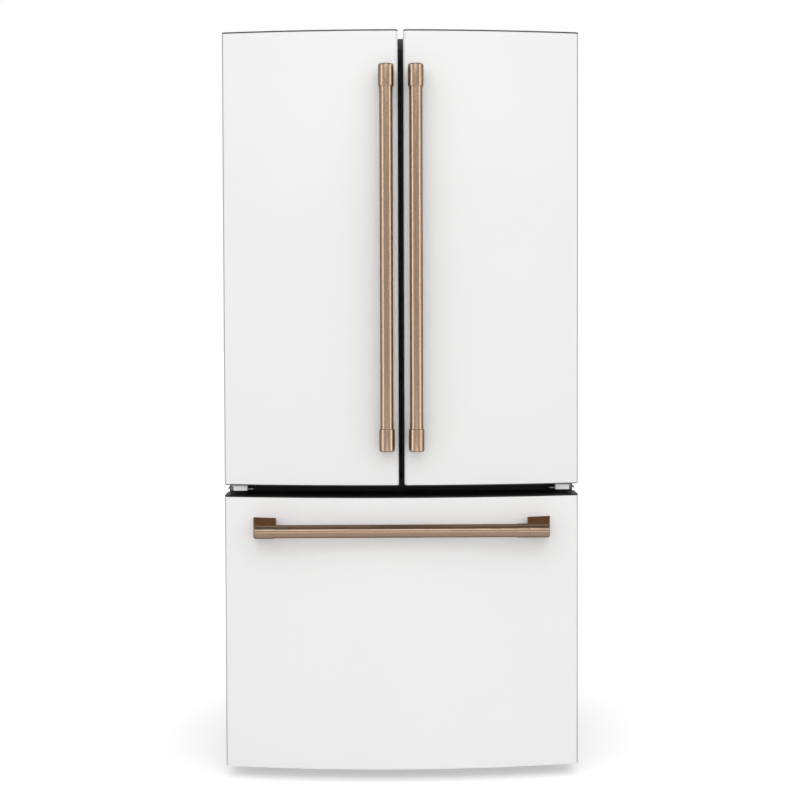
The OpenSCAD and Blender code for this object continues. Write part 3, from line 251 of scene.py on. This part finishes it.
# Depth of the faint marks in metal and in clear parts
FAINT = 0.00002


def plastic(colour, rough, grain=900.0, depth=0.00004, vary=0.04, gloss=0.5, haze=0.06):
    """Moulded plastic: a fine spark-eroded grain and a slow change of tone."""
    m = Surface()
    m.set(Base_Color=m.varied(m.noise(9.0, detail=4.0), colour, vary),
          Roughness=m.span(m.noise(40.0, detail=4.0), rough - haze, rough + haze),
          Specular_IOR_Level=gloss,
          Normal=m.bump(m.noise(grain, detail=2.0), depth))
    return m.mat


def paint(colour, rough, peel, vary, sides=None):
    """Powder or enamel paint on sheet: orange peel, with a few finer specks.

    The outer faces turned to the left and right may fade to a grey of their own, a painted shade that
    darkens the rounded edges and side returns as they turn away.
    """
    m = Surface()
    slow = m.noise(3.5, detail=3.0)
    face = m.varied(slow, colour, vary)
    peeled = m.bump(m.noise(230.0, detail=2.0), peel)
    # Painted shade: faces that turn sideways, away from the middle, fade to the sides' grey
    if sides:
        turned = m.span(m.across(m.facing), 0.0, 1.0, SIDE_SHADE_TURN)
        outer = m.span(m.across(m.place), 0.0, 1.0, SIDE_SHADE_FROM)
        face = m.mixed(m.maths("MULTIPLY", turned, outer), face, m.varied(slow, sides, vary))
    m.set(Base_Color=face,
          Roughness=m.span(m.noise(70.0, detail=4.0), rough - 0.04, rough + 0.05),
          Normal=m.bump(m.noise(1400.0, detail=2.0), peel * 0.5, peeled))
    return m.mat


def brushed(colour, rough, axis, vary=0.10, aniso=0.5, edge=(1, 1, 1)):
    """Metal brushed along one axis: fine lines in tone, gloss and height. At grazing angles the gloss
    takes the given tint; a dark tint is painted shade along curved edges.
    """
    m = Surface()
    stretch = [1.0, 1.0, 1.0]
    stretch[axis] = BRUSH
    line = m.noise(1400.0, detail=4.0, rough=0.6, stretch=stretch)
    band = m.ramp(m.noise(160.0, detail=3.0, rough=0.5, stretch=stretch), (0.93, 0.93, 0.93), (1, 1, 1))
    m.set(Base_Color=m.mixed(1.0, m.varied(line, colour, vary, (0.3, 0.7)), band, "MULTIPLY"),
          Metallic=1.0,
          # The gloss's tint at grazing angles; a dark one paints shade along the curved edges
          Specular_Tint=(*edge, 1),
          Roughness=m.span(line, rough - 0.06, rough + 0.08),
          Anisotropic=aniso,
          Normal=m.bump(line, FAINT))
    return m.mat


def sheet_metal(colour, rough):
    """Zinc coated sheet: a soft spangle and fine rolling lines."""
    m = Surface()
    cell = m.add("ShaderNodeSeparateColor")
    m.put(cell.inputs["Color"], m.cells(130.0).outputs["Color"])
    m.set(Base_Color=m.ramp(cell.outputs["Red"], tint(colour, 0.93), tint(colour, 1.05), (0, 1)),
          Metallic=1.0,
          Roughness=m.span(cell.outputs["Green"], rough - 0.03, rough + 0.04, (0, 1)),
          Normal=m.bump(m.noise(700.0, detail=3.0), FAINT))
    return m.mat


def plated(colour, rough):
    """Plated or bare turned steel with faint drawing marks."""
    m = Surface()
    fine = m.noise(500.0, detail=4.0)
    m.set(Base_Color=m.ramp(fine, tint(colour, 0.88), tint(colour, 1.06)),
          Metallic=1.0,
          Roughness=m.span(m.noise(120.0, detail=4.0), rough - 0.07, rough + 0.12),
          Normal=m.bump(fine, FAINT))
    return m.mat


def rubber(colour, rough):
    """Soft seal: dull, with a dusting of fine marks."""
    m = Surface()
    m.set(Base_Color=m.ramp(m.noise(60.0, detail=5.0), tint(colour, 0.8), tint(colour, 1.5)),
          Roughness=m.span(m.noise(25.0, detail=4.0), rough - 0.08, rough + 0.1),
          Specular_IOR_Level=0.4,
          Normal=m.bump(m.noise(1100.0, detail=3.0), 0.00004))
    return m.mat


def foam(colour):
    """Cut face of rigid foam: closed cells of about a millimetre."""
    m = Surface()
    m.set(Base_Color=m.ramp(m.noise(14.0, detail=5.0), tint(colour, 0.85), tint(colour, 1.1)),
          Roughness=0.95,
          Specular_IOR_Level=0.2,
          Normal=m.bump(m.cells(900.0).outputs["Distance"], 0.0006))
    return m.mat


def clear(colour, rough, ior, cloud=0.0, body=1.0):
    """Clear plastic or glass: a touch of body colour, with smears in the gloss.

    body is how much of it there is to see: the rest of the light goes straight through.
    """
    m = Surface()
    m.set(Base_Color=m.ramp(m.noise(6.0, detail=3.0), tint(colour, 0.97), tint(colour, 1.02)),
          Roughness=m.span(m.noise(18.0, detail=5.0), rough, rough + 0.06),
          IOR=ior,
          Transmission_Weight=1.0 - cloud,
          Alpha=body,
          Normal=m.bump(m.noise(35.0, detail=2.0), FAINT))
    return m.mat


BRONZE = (0.300, 0.213, 0.153)
# Dark tint of the bronze's gloss at grazing angles: painted shade along the handles' edges
BRONZE_EDGE_SHADE = (0.25, 0.15, 0.09)
BLACK = (0.012, 0.012, 0.013)
WHITE_TRIM = (0.80, 0.80, 0.79)
MATERIALS = {
    "case_paint": paint((0.035, 0.036, 0.038), 0.48, peel=0.00008, vary=0.05),
    "galvanised": sheet_metal((0.56, 0.57, 0.58), 0.38),
    "foam": foam((0.72, 0.60, 0.32)),
    "liner_plastic": plastic((0.86, 0.86, 0.85), 0.38, grain=700.0, depth=0.00002, vary=0.006,
                             gloss=0.4, haze=0.015),
    "trim_black": plastic(BLACK, 0.46, depth=0.00005, vary=0.3, gloss=0.2),
    "frame_steel": paint((0.05, 0.05, 0.055), 0.5, peel=0.00007, vary=0.12),
    "compressor_black": paint((0.014, 0.014, 0.015), 0.26, peel=0.00006, vary=0.2),
    "tube_black": paint((0.02, 0.02, 0.022), 0.36, peel=0.00004, vary=0.2),
    "grey_plastic": plastic((0.12, 0.12, 0.125), 0.45, depth=0.00005, vary=0.1),
    "fin_aluminium": brushed((0.75, 0.76, 0.77), 0.34, X_AXIS, vary=0.08, aniso=0.3),
    "white_plastic": plastic(WHITE_TRIM, 0.36, vary=0.02),
    "lens": clear((0.95, 0.95, 0.93), 0.42, ior=1.46, cloud=0.25),
    "shelf_white": plastic(WHITE_TRIM, 0.3, grain=800.0, depth=0.00003, vary=0.015),
    "shelf_glass": clear((0.965, 0.995, 0.985), 0.0, ior=1.50, body=0.6),
    "zinc": plated((0.62, 0.63, 0.64), 0.3),
    "screw_steel": plated((0.50, 0.51, 0.52), 0.32),
    "roller_plastic": plastic((0.03, 0.03, 0.032), 0.35, vary=0.15),
    "clear_plastic": clear((0.98, 0.992, 0.998), 0.03, ior=1.46, body=0.6),
    # The door sheet's grey sides are painted shade on its rounded edges and side returns
    "door_white": paint((0.862, 0.864, 0.862), 0.42, peel=0.00003, vary=0.006, sides=(0.30, 0.30, 0.305)),
    "seal_rubber": rubber((0.02, 0.02, 0.021), 0.55),
    "cap_grey": plastic((0.06, 0.06, 0.063), 0.46, depth=0.00005, vary=0.1, gloss=0.3),
    "cap_black": plastic(BLACK, 0.46, depth=0.00005, vary=0.3, gloss=0.2),
    "bronze": brushed(BRONZE, 0.24, Z_AXIS, edge=BRONZE_EDGE_SHADE),
    "bronze_across": brushed(BRONZE, 0.29, X_AXIS, edge=BRONZE_EDGE_SHADE),
    "bracket_steel": plated((0.17, 0.17, 0.175), 0.42),
}
FINISH = {name: MATERIALS[slot] for name, slot in SLOTS.items()}
FINISH["freezer_handle_bar"] = MATERIALS["bronze_across"]
FINISH["freezer_handle_ends"] = MATERIALS["bronze_across"]
FINISH["hinge_brackets"] = MATERIALS["bracket_steel"]

for name, mat in MATERIALS.items():
    mat.name = name
for name, obj in NODES.items():
    obj.data.materials.clear()
    obj.data.materials.append(FINISH[name])


# ------------------------------------------------------------------ mesh tools

LATHE_SIDES = 96
RIM_SEGMENTS = 5
# Points nearer than this are joined: within a new mesh, and in a copy of a CAD mesh
JOINED = 1e-7
WELDED = 2e-6
# A point this near to a height is at that height
LEVEL = 1e-5
# Degrees: faces that turn less are joined into one, and edges that turn more are rounded
FLAT = 0.6
SHARP = 35


def arc(cx, cy, r, a0, a1, n):
    """Points on an arc from a0 to a1 degrees."""
    return [(cx + r * math.cos(math.radians(a0 + (a1 - a0) * i / n)),
             cy + r * math.sin(math.radians(a0 + (a1 - a0) * i / n))) for i in range(n + 1)]


def grid_mesh(name, rings, close_ring=True, close_ends=False, caps=False, fill=False):
    """Mesh from rings of points, each joined to the next.

    close_ends joins the last ring to the first, caps closes both end rings, and fill closes all holes.
    """
    bm = bmesh.new()
    rows = [[bm.verts.new(p) for p in ring] for ring in rings]
    pairs = list(zip(rows, rows[1:])) + ([(rows[-1], rows[0])] if close_ends else [])
    count = len(rows[0])
    for a, b in pairs:
        for i in range(count if close_ring else count - 1):
            j = (i + 1) % count
            bm.faces.new((a[i], a[j], b[j], b[i]))
    if caps:
        bm.faces.new(rows[0])
        bm.faces.new(list(reversed(rows[-1])))
    bmesh.ops.remove_doubles(bm, verts=bm.verts, dist=JOINED)
    if fill:
        bmesh.ops.holes_fill(bm, edges=[e for e in bm.edges if e.is_boundary])
    bmesh.ops.recalc_face_normals(bm, faces=bm.faces)
    mesh = bpy.data.meshes.new(name)
    bm.to_mesh(mesh)
    bm.free()
    return mesh


def lathed(name, profile, axis, centre):
    """A turned piece: (radius, place along the axis) points about X or Z."""
    rings = []
    for r, along in profile:
        ring = []
        for i in range(LATHE_SIDES):
            turn = 2 * math.pi * i / LATHE_SIDES
            u, v = r * math.cos(turn), r * math.sin(turn)
            ring.append((along, centre.y + u, centre.z + v) if axis == X_AXIS
                        else (centre.x + u, centre.y + v, along))
        rings.append(ring)
    return grid_mesh(name, rings, close_ends=True)


def smooth(mesh, degrees):
    """Smooth shading, with the edges sharper than this left sharp."""
    mesh.polygons.foreach_set("use_smooth", [True] * len(mesh.polygons))
    mesh.set_sharp_from_angle(angle=math.radians(degrees))


def piece(name, mesh, like, *replaced, degrees=32):
    """A new piece that rides and is finished as the node `like`, in the place of any nodes replaced."""
    obj = bpy.data.objects.new(name, mesh)
    scene.collection.objects.link(obj)
    mesh.materials.clear()
    mesh.materials.append(FINISH[like])
    smooth(mesh, degrees)
    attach(obj, NODES[like]["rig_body"])
    if replaced:
        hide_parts(*replaced)
    return obj


def weigh_normals(obj):
    """Keep the large faces flat, so that only the rounded edges shade from one to the next."""
    change = obj.modifiers.new("weigh", "WEIGHTED_NORMAL")
    change.keep_sharp = True
    mesh = bpy.data.meshes.new_from_object(obj.evaluated_get(bpy.context.evaluated_depsgraph_get()))
    obj.modifiers.clear()
    obj.data = mesh


def round_over(bm, edges, width, segments):
    bmesh.ops.bevel(bm, geom=edges, offset=width, offset_type="OFFSET", segments=segments,
                    profile=0.5, affect="EDGES", clamp_overlap=True, harden_normals=False)


def softened(node, width, segments=2, rim=0.0):
    """A piece that has a CAD node's shape, with its edges rounded over.

    The edges of its highest and lowest faces may have a radius of their own, rim.
    """
    mesh = NODES[node].data.copy()
    mesh.name = node + "_rounded"
    bm = bmesh.new()
    bm.from_mesh(mesh)
    bmesh.ops.remove_doubles(bm, verts=bm.verts, dist=WELDED)
    bmesh.ops.dissolve_limit(bm, angle_limit=math.radians(FLAT), verts=bm.verts, edges=bm.edges)
    if rim:
        heights = [corner.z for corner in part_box(node)]
        ends = [e for e in bm.edges for z in heights if all(abs(v.co.z - z) < LEVEL for v in e.verts)]
        round_over(bm, ends, rim, RIM_SEGMENTS)
    sharp = [e for e in bm.edges if e.is_manifold and e.calc_face_angle(0) > math.radians(SHARP)]
    round_over(bm, sharp, width, segments)
    bmesh.ops.recalc_face_normals(bm, faces=bm.faces)
    bm.to_mesh(mesh)
    bm.free()
    weigh_normals(piece(node + "_piece", mesh, node, node, degrees=40))


# ------------------------------------------------------------------ fronts

# The middle of the fronts stands this far out past their outer edges
BOW = 0.034
# Radius between a front and its side returns, and between those and the flanges at the back
EDGE_R = 0.008
TURN_R = 0.0015
FLANGE = 0.012
SHEET = 0.001
# The doors' sheets end this far above the CAD's lower edge, where the dark end cap shows
DOOR_SHORT = 0.002
# Steps along each arc
BOW_STEPS = 72
EDGE_STEPS = 12
ROLL_STEPS = 5
TURN_STEPS = 4

low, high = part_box("freezer_skin")
Y_SEAL = high.y
BOW_R = (high.x ** 2 + BOW ** 2) / (2 * BOW)
BOW_Y = low.y + BOW_R


def corner_y(x):
    """Where the middle of a corner's arc lies, so that the arc runs into the bow."""
    return BOW_Y - math.sqrt((BOW_R - EDGE_R) ** 2 - x * x)


def heading(x):
    """Direction in degrees from the middle of the bow's circle to that of a corner's arc."""
    return math.degrees(math.atan2(corner_y(x) - BOW_Y, x)) + 360


def front_path(x0, x1, inset):
    """Plan of a bowed sheet front, from the edge of one flange round to the other's."""
    xa, xb = x0 + EDGE_R, x1 - EDGE_R
    bow = arc(0, BOW_Y, BOW_R - inset, heading(xa), heading(xb), BOW_STEPS)
    return ([(x0 + FLANGE, Y_SEAL - inset)]
            + arc(x0 + TURN_R, Y_SEAL - TURN_R, TURN_R - inset, 90, 180, TURN_STEPS)
            + arc(xa, corner_y(xa), EDGE_R - inset, 180, heading(xa), EDGE_STEPS)
            + bow[1:-1]
            + arc(xb, corner_y(xb), EDGE_R - inset, heading(xb), 360, EDGE_STEPS)
            + arc(x1 - TURN_R, Y_SEAL - TURN_R, TURN_R - inset, 0, 90, TURN_STEPS)
            + [(x1 - FLANGE, Y_SEAL - inset)])


def front_face(node, short=0.0):
    """The painted sheet of a front, its upper and lower edges rolled inwards."""
    a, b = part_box(node)
    section = (arc(SHEET, a.z + short + SHEET, SHEET, 270, 180, ROLL_STEPS)
               + arc(SHEET, b.z - SHEET, SHEET, 180, 90, ROLL_STEPS))
    rings = [[(x, y, z) for x, y in front_path(a.x, b.x, inset)] for inset, z in section]
    mesh = grid_mesh(node + "_face", rings, close_ring=False, close_ends=True, fill=True)
    piece(node + "_face", mesh, node, node, degrees=40)


front_face("left_door_skin", DOOR_SHORT)
front_face("right_door_skin", DOOR_SHORT)
front_face("freezer_skin")


# ------------------------------------------------------------------ seals

# The doors' seals begin this far from the middle
SEAL_MID = 0.008
# Corner radius along a seal's outer edge, and the least towards its inner edge
SEAL_R = 0.005
SEAL_R_LEAST = 0.0008
SEAL_STEPS = 6
# Half a seal's section, in millimetres from its middle line and from the front back to the cabinet:
# base, bellows and magnet pocket. The other half mirrors it.
SEAL_HALF = [(3.6, 0), (4.1, 0.5), (4.0, 1.1), (3.4, 1.7), (4.6, 2.3), (5.9, 3.0), (6.6, 3.8), (6.2, 4.5),
             (5.5, 5.1), (5.9, 5.7), (6.7, 6.3), (7, 7.1), (7, 8.8), (6.8, 9.3), (6.2, 9.6)]
SEAL_MIDDLE = 7
SEAL = ([(SEAL_MIDDLE + half, back) for half, back in SEAL_HALF]
        + [(SEAL_MIDDLE - half, back) for half, back in reversed(SEAL_HALF)])
# Plan of the soft fin on a door's seal, in millimetres from the middle and from the front back
FIN = [(12, 0), (1.6, 0), (0.7, 0.2), (0.2, 0.7), (0.7, 1.2), (1.6, 1.4), (12, 1.4)]


def loop(x0, z0, x1, z1, r):
    """Outline of a rectangle with round corners, in X and Z."""
    return (arc(x0 + r, z0 + r, r, 180, 270, SEAL_STEPS)
            + arc(x1 - r, z0 + r, r, 270, 360, SEAL_STEPS)
            + arc(x1 - r, z1 - r, r, 0, 90, SEAL_STEPS)
            + arc(x0 + r, z1 - r, r, 90, 180, SEAL_STEPS))


def bellows(node, x0, x1):
    """A magnetic seal with its bellows, round a front."""
    a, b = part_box(node)
    rings = []
    for across, back in SEAL:
        u = across * MM
        outline = loop(x0 + u, a.z + u, x1 - u, b.z - u, max(SEAL_R - u, SEAL_R_LEAST))
        rings.append([(x, Y_SEAL + back * MM, z) for x, z in outline])
    piece(node + "_bellows", grid_mesh(node, rings, close_ends=True), node, node, degrees=50)


def seal_fin(node, side):
    """The soft fin that closes the gap between the doors from its side."""
    a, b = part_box(node)
    rings = [[(side * x * MM, Y_SEAL + y * MM, z) for x, y in FIN] for z in (a.z, b.z)]
    piece(node + "_fin", grid_mesh(node + "_fin", rings, caps=True), node, degrees=50)


def make_seals():
    a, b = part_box("left_door_gasket")
    bellows("left_door_gasket", a.x, -SEAL_MID)
    seal_fin("left_door_gasket", -1)
    a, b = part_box("right_door_gasket")
    bellows("right_door_gasket", SEAL_MID, b.x)
    seal_fin("right_door_gasket", 1)
    a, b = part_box("freezer_gasket")
    bellows("freezer_gasket", a.x, b.x)


make_seals()


# ------------------------------------------------------------------ handles

TUBE_WALL = 0.002
TUBE_EASE = 0.0005
# From the end of the freezer handle to where its tube enters
TUBE_SEAT = 0.0464
# Section of a dark ring, in millimetres: out from the tube's face, and along it
RING = [(0.05, -0.4), (0.7, -0.4), (0.9, -0.2), (0.9, 0.2), (0.7, 0.4), (0.05, 0.4)]
# Radius of the edges of the handles' ends, and of the rims of the door handles' ends
HANDLE_EDGE = 0.0012
HANDLE_RIM = 0.005


def tube(node, axis):
    """A handle's tube with its ends broken, as long as the CAD tube."""
    a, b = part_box(node)
    r = (b.y - a.y) / 2
    start, end = a[axis], b[axis]
    profile = [(r - TUBE_EASE, start), (r, start + TUBE_EASE), (r, end - TUBE_EASE), (r - TUBE_EASE, end),
               (r - TUBE_WALL, end), (r - TUBE_WALL, start)]
    piece(node + "_tube", lathed(node, profile, axis, (a + b) / 2), node, node)


def seat_rings():
    """Dark rings where the freezer handle's tube enters its ends."""
    ends_a, ends_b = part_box("freezer_handle_ends")
    a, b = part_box("freezer_handle_bar")
    r = (b.y - a.y) / 2
    for side, at in (("left", ends_a.x + TUBE_SEAT), ("right", ends_b.x - TUBE_SEAT)):
        profile = [(r + out * MM, at + along * MM) for out, along in RING]
        mesh = lathed("ring", profile, X_AXIS, (a + b) / 2)
        piece("freezer_handle_%s_ring" % side, mesh, "freezer_gasket")


tube("left_handle_bar", Z_AXIS)
tube("right_handle_bar", Z_AXIS)
tube("freezer_handle_bar", X_AXIS)
seat_rings()
softened("left_handle_ends", HANDLE_EDGE, segments=3, rim=HANDLE_RIM)
softened("right_handle_ends", HANDLE_EDGE, segments=3, rim=HANDLE_RIM)
softened("freezer_handle_ends", HANDLE_EDGE, segments=3)


# ------------------------------------------------------------------ rounded pieces

EDGE_RADII = {
    "hinge_blocks": 0.0015,
    "hinge_covers": 0.0015,
    "control_panel": 0.001,
    "left_door_bins": 0.0009,
    "right_door_bins": 0.0009,
    "left_crisper": 0.0008,
    "right_crisper": 0.0008,
    "upper_tray": 0.0008,
    "humidity_slider": 0.0006,
    "cabinet_shell": 0.0012,
    "shelf_frames": 0.0008,
    "mullion_bar": 0.001,
    "evaporator_cover": 0.001,
    "air_duct": 0.001,
    "lower_basket": 0.0008,
}
for name, radius in EDGE_RADII.items():
    softened(name, radius)


# ------------------------------------------------------------------ floor and light

FLOOR_HALF = 40.0
# Strength of the floor's glow for the rays that see it, so that it meets the white around it
FLOOR_GLOW = 0.46
# Z parts of a ray's direction: where the ceiling begins, and where it is full
CEILING = (0.54, 0.70)


def make_floor():
    """A pale floor that takes the object's shadow."""
    mesh = bpy.data.meshes.new("floor")
    r = FLOOR_HALF
    mesh.from_pydata([(-r, -r, 0), (r, -r, 0), (r, r, 0), (-r, r, 0)], [], [(0, 1, 2, 3)])
    obj = bpy.data.objects.new("floor", mesh)
    scene.collection.objects.link(obj)
    m = Surface("floor_pale")
    m.set(Base_Color=m.ramp(m.noise(1.5, detail=3.0), (0.80, 0.80, 0.80), (0.83, 0.83, 0.83)),
          Roughness=0.9,
          Specular_IOR_Level=0.1)
    glow = m.add("ShaderNodeEmission")
    m.put(glow.inputs["Strength"], m.span(m.seen(), 0.0, FLOOR_GLOW, (0, 1)))
    both = m.add("ShaderNodeAddShader")
    m.put(both.inputs[0], m.shader.outputs["BSDF"])
    m.put(both.inputs[1], glow.outputs["Emission"])
    m.put(m.tree.nodes["Material Output"].inputs["Surface"], both.outputs["Shader"])
    mesh.materials.append(m.mat)


def make_world(around, ahead, ceiling):
    """White where it is seen; as light, `around` from all sides and up to `ahead` more from the front.

    Gloss sees a ceiling of that lower strength high above the object.
    """
    world = bpy.data.worlds.new("studio")
    scene.world = world
    world.use_nodes = True
    g = Graph(world.node_tree)
    way = g.add("ShaderNodeSeparateXYZ")
    g.put(way.inputs["Vector"], g.add("ShaderNodeTexCoord").outputs["Generated"])
    light = g.span(way.outputs["Y"], around, around + ahead, (0.0, -1.0))
    above = g.span(way.outputs["Z"], 0.0, ceiling - 1.0, CEILING)
    gloss = g.add("ShaderNodeLightPath").outputs["Is Glossy Ray"]
    shown = g.maths("MULTIPLY_ADD", above, gloss, 1.0)
    back = g.tree.nodes["Background"]
    g.put(back.inputs["Color"], (1, 1, 1, 1))
    g.put(back.inputs["Strength"], g.span(g.seen(), light, shown, (0, 1)))


def lamp(name, place, aim, size, power, mirrored):
    """A soft box that is either only mirrored in gloss, or only lights."""
    data = bpy.data.lights.new(name, "AREA")
    data.shape = "RECTANGLE"
    data.size, data.size_y = size
    data.energy = power
    obj = bpy.data.objects.new(name, data)
    obj.visible_glossy = mirrored
    obj.visible_diffuse = not mirrored
    obj.location = place
    obj.rotation_euler = (Vector(aim) - Vector(place)).to_track_quat("-Z", "Y").to_euler()
    scene.collection.objects.link(obj)


def make_lamps():
    """Lamps at the sides, in front, above and behind.

    The mirrored ones in front stand low and high, where the door handles' tubes don't show them.
    """
    for side, name in ((-1, "side_left"), (1, "side_right")):
        lamp(name, (side * 3.2, -1.75, 1.25), aim=(0, -0.36, 1.2), size=(1.1, 3.0),
             power=36, mirrored=True)
    for name, height, power in (("low_front", 0.24, 7), ("high_front", 2.64, 22)):
        lamp(name, (0, -3.4, height), aim=(0, -0.38, 0.6), size=(2.2, 0.4),
             power=power, mirrored=True)
    lamp("overhead", (0, -3.6, 3.2), aim=(0, -0.3, 0.6), size=(3.2, 0.5), power=11, mirrored=False)
    lamp("behind", (0, 3.6, 3.0), aim=(0, 0.3, 0.9), size=(3.0, 1.6), power=40, mirrored=False)


make_floor()
make_world(around=0.52, ahead=1.00, ceiling=0.22)
make_lamps()

scene.view_settings.view_transform = "Standard"
